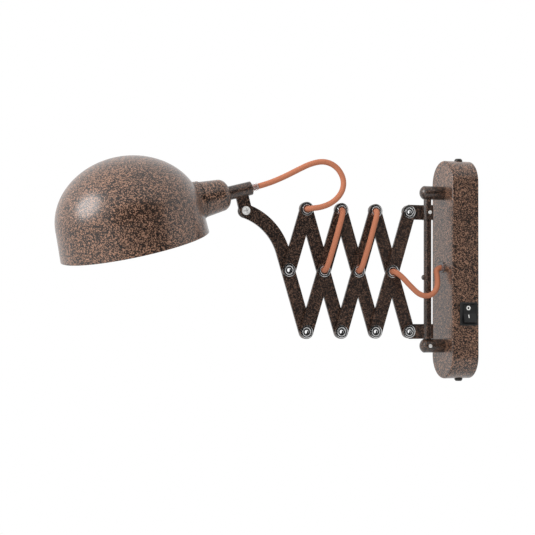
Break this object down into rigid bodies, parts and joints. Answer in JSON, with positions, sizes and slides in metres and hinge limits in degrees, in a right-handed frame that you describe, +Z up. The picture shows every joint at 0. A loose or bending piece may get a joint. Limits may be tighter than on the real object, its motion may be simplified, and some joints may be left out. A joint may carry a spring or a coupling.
{
  "type": "scissor arm wall lamp",
  "caption": "Wall lamp with a scissor arm that swivels on a rod, a curved end arm and a dome shade that tilts, with a rocker switch on its wall box.",
  "frame": {"origin": "on the wall plane, at the centre of the wall bracket between its two screw slots", "axes": "+X out of the wall towards the shade, +Y to the right of someone who faces the wall, +Z up"},
  "size_m": [0.3812, 0.1291, 0.2048],
  "materials": {
    "rust_paint": "speckled rust-brown lacquer, semi-gloss",
    "arm_paint": "dark brown speckled lacquer, satin",
    "bright_steel": "nickel-plated",
    "raw_steel": "zinc-plated",
    "switch_black": "moulded, satin",
    "clear_plastic": "clear moulded",
    "cord_textile": "woven textile cover",
    "holder_black": "moulded",
    "brass": "plain",
    "block_white": "moulded",
    "lead_brown": "wire insulation"
  },
  "bodies": {
    "wall": {"wall_box": "rust_paint", "wall_bracket": "raw_steel", "box_screws": "bright_steel", "post_upper": "arm_paint", "post_lower": "arm_paint", "post_nuts": "raw_steel", "post_set_screw": "bright_steel", "box_cord_grip": "clear_plastic", "box_grip_nut": "raw_steel", "terminal_block": "block_white", "inner_leads": "lead_brown", "box_cord_tail": "cord_textile", "switch_housing": "switch_black", "switch_terminals": "brass", "cord_wall_loop_inner": "cord_textile"},
    "rocker": {"switch_rocker": "switch_black"},
    "swivel": {"pivot_rod": "arm_paint", "stop_pin": "arm_paint", "upper_collar": "arm_paint", "collar_set_screw": "bright_steel", "cord_wall_loop_outer": "cord_textile"},
    "front_bar_1": {"front_bar_1": "arm_paint", "eyelets_1": "bright_steel"},
    "back_bar_1": {"back_bar_1": "arm_paint", "cord_back_1": "cord_textile"},
    "slider": {"lower_collar": "arm_paint", "lower_collar_eyelet": "bright_steel"},
    "front_bar_2": {"front_bar_2": "arm_paint", "eyelets_2": "bright_steel", "cord_front_2": "cord_textile"},
    "back_bar_2": {"back_bar_2": "arm_paint", "cord_back_2": "cord_textile"},
    "front_bar_3": {"front_bar_3": "arm_paint", "eyelets_3": "bright_steel", "cord_front_3": "cord_textile"},
    "back_bar_3": {"back_bar_3": "arm_paint", "cord_back_3": "cord_textile"},
    "link": {"short_link": "arm_paint", "short_link_eyelets": "bright_steel", "cord_head_loop_inner": "cord_textile"},
    "arm": {"curved_arm": "arm_paint", "cord_head_loop_outer": "cord_textile"},
    "yoke": {"head_yoke": "arm_paint", "tilt_screw": "bright_steel", "tilt_washer": "bright_steel", "tilt_nut": "bright_steel"},
    "head": {"lamp_cup": "rust_paint", "nipple": "raw_steel", "nipple_nut": "raw_steel", "lampholder": "holder_black", "socket_shell": "brass", "centre_contact": "brass", "shade_ring": "holder_black", "shade": "rust_paint", "head_cord_grip": "clear_plastic", "head_cord_tail": "cord_textile"}
  },
  "joints": [
    {"name": "switch_rock", "type": "hinge", "parent": "wall", "child": "rocker", "pos_m": [0.0102, 0.021, -0.0407], "axis": [-1, 0, 0], "range_deg": [0, 20]},
    {"name": "arm_swivel", "type": "hinge", "parent": "wall", "child": "swivel", "pos_m": [0.041, 0, 0], "axis": [0, 0, 1], "range_deg": [-75, 75], "deforming": ["cord_wall_loop_inner"]},
    {"name": "arm_extend", "type": "hinge", "parent": "swivel", "child": "front_bar_1", "pos_m": [0.06, 0, 0.05184], "axis": [0, -1, 0], "range_deg": [0, 35.5], "deforming": ["cord_wall_loop_outer"]},
    {"name": "cross_1", "type": "hinge", "parent": "front_bar_1", "child": "back_bar_1", "pos_m": [0.07661, 0, -0.00248], "axis": [0, -1, 0], "range_deg": [-72, 1]},
    {"name": "slider_pivot", "type": "hinge", "parent": "back_bar_1", "child": "slider", "pos_m": [0.06, 0, -0.0568], "axis": [0, -1, 0], "range_deg": [-1, 36.5]},
    {"name": "low_2", "type": "hinge", "parent": "front_bar_1", "child": "back_bar_2", "pos_m": [0.09321, 0, -0.0568], "axis": [0, -1, 0], "range_deg": [-72, 1]},
    {"name": "cross_2", "type": "hinge", "parent": "back_bar_2", "child": "front_bar_2", "pos_m": [0.10982, 0, -0.00248], "axis": [0, -1, 0], "range_deg": [-1, 72]},
    {"name": "top_3", "type": "hinge", "parent": "back_bar_2", "child": "front_bar_3", "pos_m": [0.12643, 0, 0.05184], "axis": [0, -1, 0], "range_deg": [-1, 72]},
    {"name": "cross_3", "type": "hinge", "parent": "front_bar_3", "child": "back_bar_3", "pos_m": [0.14303, 0, -0.00248], "axis": [0, -1, 0], "range_deg": [-72, 1]},
    {"name": "low_4", "type": "hinge", "parent": "front_bar_3", "child": "arm", "pos_m": [0.15964, 0, -0.0568], "axis": [0, -1, 0], "range_deg": [-72, 1]},
    {"name": "cross_4", "type": "hinge", "parent": "arm", "child": "link", "pos_m": [0.17625, 0, -0.00248], "axis": [0, -1, 0], "range_deg": [-1, 72], "deforming": ["cord_head_loop_inner"]},
    {"name": "head_tilt", "type": "hinge", "parent": "arm", "child": "yoke", "pos_m": [0.21651, 0, 0.04876], "axis": [0, 1, 0], "range_deg": [-55, 45], "deforming": ["cord_head_loop_outer"]},
    {"name": "head_turn", "type": "hinge", "parent": "yoke", "child": "head", "pos_m": [0.22102, 0, 0.06619], "axis": [0.9681, 0, -0.2504], "range_deg": [-60, 60]}
  ],
  "couplings": [
    {"joint": "cross_1", "follows": "arm_extend", "ratio": -2},
    {"joint": "slider_pivot", "follows": "arm_extend", "ratio": 1},
    {"joint": "low_2", "follows": "arm_extend", "ratio": -2},
    {"joint": "cross_2", "follows": "arm_extend", "ratio": 2},
    {"joint": "top_3", "follows": "arm_extend", "ratio": 2},
    {"joint": "cross_3", "follows": "arm_extend", "ratio": -2},
    {"joint": "low_4", "follows": "arm_extend", "ratio": -2},
    {"joint": "cross_4", "follows": "arm_extend", "ratio": 2}
  ]
}
